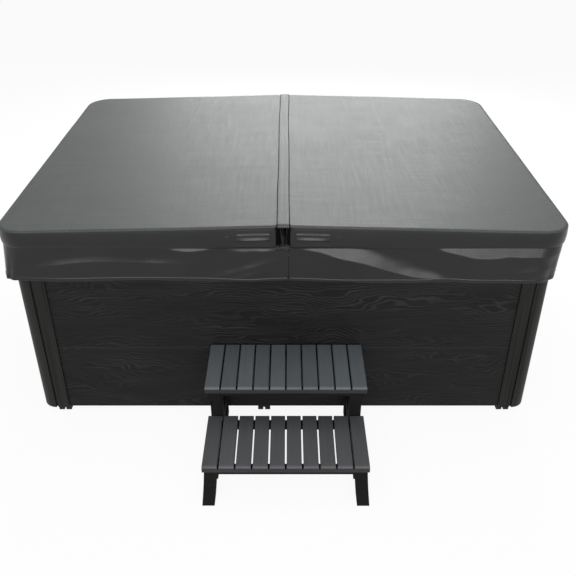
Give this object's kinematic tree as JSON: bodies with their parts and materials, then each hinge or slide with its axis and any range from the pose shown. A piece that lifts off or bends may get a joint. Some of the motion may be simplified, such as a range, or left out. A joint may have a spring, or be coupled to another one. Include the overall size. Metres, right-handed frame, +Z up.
{
  "type": "hot tub",
  "caption": "Rectangular hot tub with a wood-grain cabinet, a folding insulated cover with a hanging skirt, and a slatted set of steps at its front.",
  "frame": {"origin": "middle of the tub's footprint, on the floor", "axes": "+Z up, -Y to the front where the steps stand, X along the long side"},
  "size_m": [2.1368, 2.1108, 0.9117],
  "materials": {
    "acrylic": "glossy formed acrylic",
    "base": "moulded black plastic",
    "timber": "sawn softwood",
    "foam": "closed-cell foam",
    "cabinet_board": "black board embossed with wood grain",
    "corner_trim": "black extruded trim with fine grain",
    "stainless": "stainless steel",
    "jet_plastic": "grey moulded plastic",
    "white_plastic": "white moulded plastic",
    "lens": "clear lens",
    "headrest": "soft moulded foam skin",
    "panel_face": "black moulded plate with a bare screen",
    "key": "soft key",
    "knob": "grey moulded knob",
    "filter_paper": "pleated spun polyester",
    "motor": "dark painted casting",
    "galvanised": "folded sheet",
    "cover_vinyl": "grey textured vinyl",
    "skirt_vinyl": "charcoal smooth vinyl",
    "strap": "sewn vinyl strap",
    "slat": "blue-grey board with fine lines along it",
    "step_frame": "black moulded plastic",
    "pad": "rubber"
  },
  "bodies": {
    "tub": {"shell": "acrylic", "base_pan": "base", "base_feet": "base", "timber_frame": "timber", "insulation_boards": "foam", "well_support": "foam", "front_panel": "cabinet_board", "back_panel": "cabinet_board", "left_panel": "cabinet_board", "right_panel": "cabinet_board", "corner_posts": "corner_trim", "panel_screws": "stainless", "jet_bodies": "white_plastic", "jet_faces": "jet_plastic", "well_grilles": "jet_plastic", "light_lens": "lens", "headrests": "headrest", "topside_panel": "panel_face", "valve_bodies": "jet_plastic", "filter_cartridge": "filter_paper", "pump_wet_end": "jet_plastic", "pump_motor": "motor", "pipes": "white_plastic", "heater": "stainless", "manifold": "white_plastic", "control_box": "white_plastic"},
    "cover_right": {"cover_right_core": "foam", "cover_right_channel": "galvanised", "cover_right_jacket": "cover_vinyl", "cover_right_handles": "strap", "cover_right_skirt": "skirt_vinyl", "cover_heat_seal": "foam", "cover_hinge_strip": "cover_vinyl"},
    "cover_left": {"cover_left_core": "foam", "cover_left_channel": "galvanised", "cover_left_jacket": "cover_vinyl", "cover_left_handles": "strap", "cover_left_skirt": "skirt_vinyl"},
    "step_set": {"step_upper_slats": "slat", "step_lower_slats": "slat", "step_left_frame": "step_frame", "step_right_frame": "step_frame", "step_cross_rails": "step_frame", "step_foot_pads": "pad"},
    "diverter_knob": {"diverter_knob": "knob"},
    "air_knob_front": {"air_knob_front": "knob"},
    "air_knob_back": {"air_knob_back": "knob"},
    "filter_lid": {"filter_lid": "jet_plastic"},
    "weir_door": {"weir_door": "jet_plastic"},
    "pump_rotor": {"pump_rotor": "stainless"},
    "rotary_jet_1": {"rotary_jet_1": "jet_plastic"},
    "button_1": {"button_1": "key"},
    "rotary_jet_2": {"rotary_jet_2": "jet_plastic"},
    "button_2": {"button_2": "key"},
    "rotary_jet_3": {"rotary_jet_3": "jet_plastic"},
    "button_3": {"button_3": "key"},
    "rotary_jet_4": {"rotary_jet_4": "jet_plastic"},
    "button_4": {"button_4": "key"}
  },
  "joints": [
    {"name": "cover_lift", "type": "slide", "parent": "tub", "child": "cover_right", "axis": [0, 0, 1], "range_m": [0, 0.4]},
    {"name": "cover_fold", "type": "hinge", "parent": "cover_right", "child": "cover_left", "pos_m": [0, 0, 0.911], "axis": [0, 1, 0], "range_deg": [0, 182], "deforming": ["cover_hinge_strip"]},
    {"name": "step_pull", "type": "slide", "parent": "tub", "child": "step_set", "axis": [0, -1, 0], "range_m": [0, 0.6]},
    {"name": "diverter_turn", "type": "hinge", "parent": "tub", "child": "diverter_knob", "pos_m": [-0.951, 0, 0.79], "axis": [0, 0, 1], "range_deg": [0, 180]},
    {"name": "air_front_turn", "type": "hinge", "parent": "tub", "child": "air_knob_front", "pos_m": [-0.951, -0.26, 0.785], "axis": [0, 0, 1], "range_deg": [0, 180]},
    {"name": "air_back_turn", "type": "hinge", "parent": "tub", "child": "air_knob_back", "pos_m": [-0.951, 0.26, 0.785], "axis": [0, 0, 1], "range_deg": [0, 180]},
    {"name": "button_1_press", "type": "slide", "parent": "tub", "child": "button_1", "axis": [0, 0, -1], "range_m": [0, 0.0015], "stiffness_N_per_m": 400},
    {"name": "button_2_press", "type": "slide", "parent": "tub", "child": "button_2", "axis": [0, 0, -1], "range_m": [0, 0.0015], "stiffness_N_per_m": 400},
    {"name": "button_3_press", "type": "slide", "parent": "tub", "child": "button_3", "axis": [0, 0, -1], "range_m": [0, 0.0015], "stiffness_N_per_m": 400},
    {"name": "button_4_press", "type": "slide", "parent": "tub", "child": "button_4", "axis": [0, 0, -1], "range_m": [0, 0.0015], "stiffness_N_per_m": 400},
    {"name": "rotary_jet_1_spin", "type": "hinge", "parent": "tub", "child": "rotary_jet_1", "pos_m": [0.86435, -0.21, 0.6], "axis": [-0.9676, 0, 0.2524], "continuous": true},
    {"name": "rotary_jet_2_spin", "type": "hinge", "parent": "tub", "child": "rotary_jet_2", "pos_m": [0.86435, 0.21, 0.6], "axis": [-0.9676, 0, 0.2524], "continuous": true},
    {"name": "rotary_jet_3_spin", "type": "hinge", "parent": "tub", "child": "rotary_jet_3", "pos_m": [-0.86435, -0.21, 0.6], "axis": [0.9676, 0, 0.2524], "continuous": true},
    {"name": "rotary_jet_4_spin", "type": "hinge", "parent": "tub", "child": "rotary_jet_4", "pos_m": [-0.86435, 0.21, 0.6], "axis": [0.9676, 0, 0.2524], "continuous": true},
    {"name": "weir_swing", "type": "hinge", "parent": "tub", "child": "weir_door", "pos_m": [0, -0.381, 0.575], "axis": [1, 0, 0], "range_deg": [0, 70]},
    {"name": "filter_lid_lift", "type": "slide", "parent": "tub", "child": "filter_lid", "axis": [0, 0, 1], "range_m": [0, 0.09]},
    {"name": "pump_spin", "type": "hinge", "parent": "tub", "child": "pump_rotor", "pos_m": [0.57, 0, 0.12], "axis": [1, 0, 0], "continuous": true}
  ]
}
